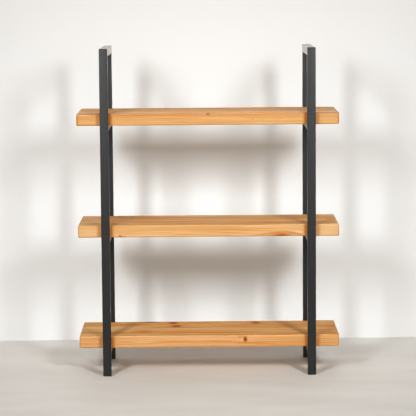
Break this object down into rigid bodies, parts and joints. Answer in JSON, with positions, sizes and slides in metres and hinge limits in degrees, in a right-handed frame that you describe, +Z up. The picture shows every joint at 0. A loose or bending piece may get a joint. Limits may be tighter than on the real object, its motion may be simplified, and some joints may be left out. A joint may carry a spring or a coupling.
{
  "type": "bookcase",
  "caption": "Open bookcase with thick solid pine shelf boards between the posts of two black square-tube steel side frames, overhanging them at both ends.",
  "frame": {"origin": "on the floor, at the middle of the footprint", "axes": "+X along the shelves to the right as seen from the front, +Y to the back, +Z up"},
  "size_m": [0.956, 0.365, 1.2],
  "materials": {
    "powder_coated_steel": "fine-textured charcoal black powder coat, semi-gloss",
    "black_plastic": "moulded, matte",
    "pine": "honey-coloured wax over solid pine, satin",
    "screw": "black zinc"
  },
  "bodies": {
    "root": {"front_post_left": "powder_coated_steel", "rear_post_left": "powder_coated_steel", "top_rail_left": "powder_coated_steel", "shelf_rail_lower_left": "powder_coated_steel", "shelf_rail_middle_left": "powder_coated_steel", "shelf_rail_upper_left": "powder_coated_steel", "foot_plug_front_left": "black_plastic", "foot_plug_rear_left": "black_plastic", "front_post_right": "powder_coated_steel", "rear_post_right": "powder_coated_steel", "top_rail_right": "powder_coated_steel", "shelf_rail_lower_right": "powder_coated_steel", "shelf_rail_middle_right": "powder_coated_steel", "shelf_rail_upper_right": "powder_coated_steel", "foot_plug_front_right": "black_plastic", "foot_plug_rear_right": "black_plastic", "lower_shelf": "pine", "middle_shelf": "pine", "upper_shelf": "pine", "wood_screw_lower_left_front": "screw", "wood_screw_lower_left_rear": "screw", "wood_screw_lower_right_front": "screw", "wood_screw_lower_right_rear": "screw", "wood_screw_middle_left_front": "screw", "wood_screw_middle_left_rear": "screw", "wood_screw_middle_right_front": "screw", "wood_screw_middle_right_rear": "screw", "wood_screw_upper_left_front": "screw", "wood_screw_upper_left_rear": "screw", "wood_screw_upper_right_front": "screw", "wood_screw_upper_right_rear": "screw"}
  },
  "joints": []
}
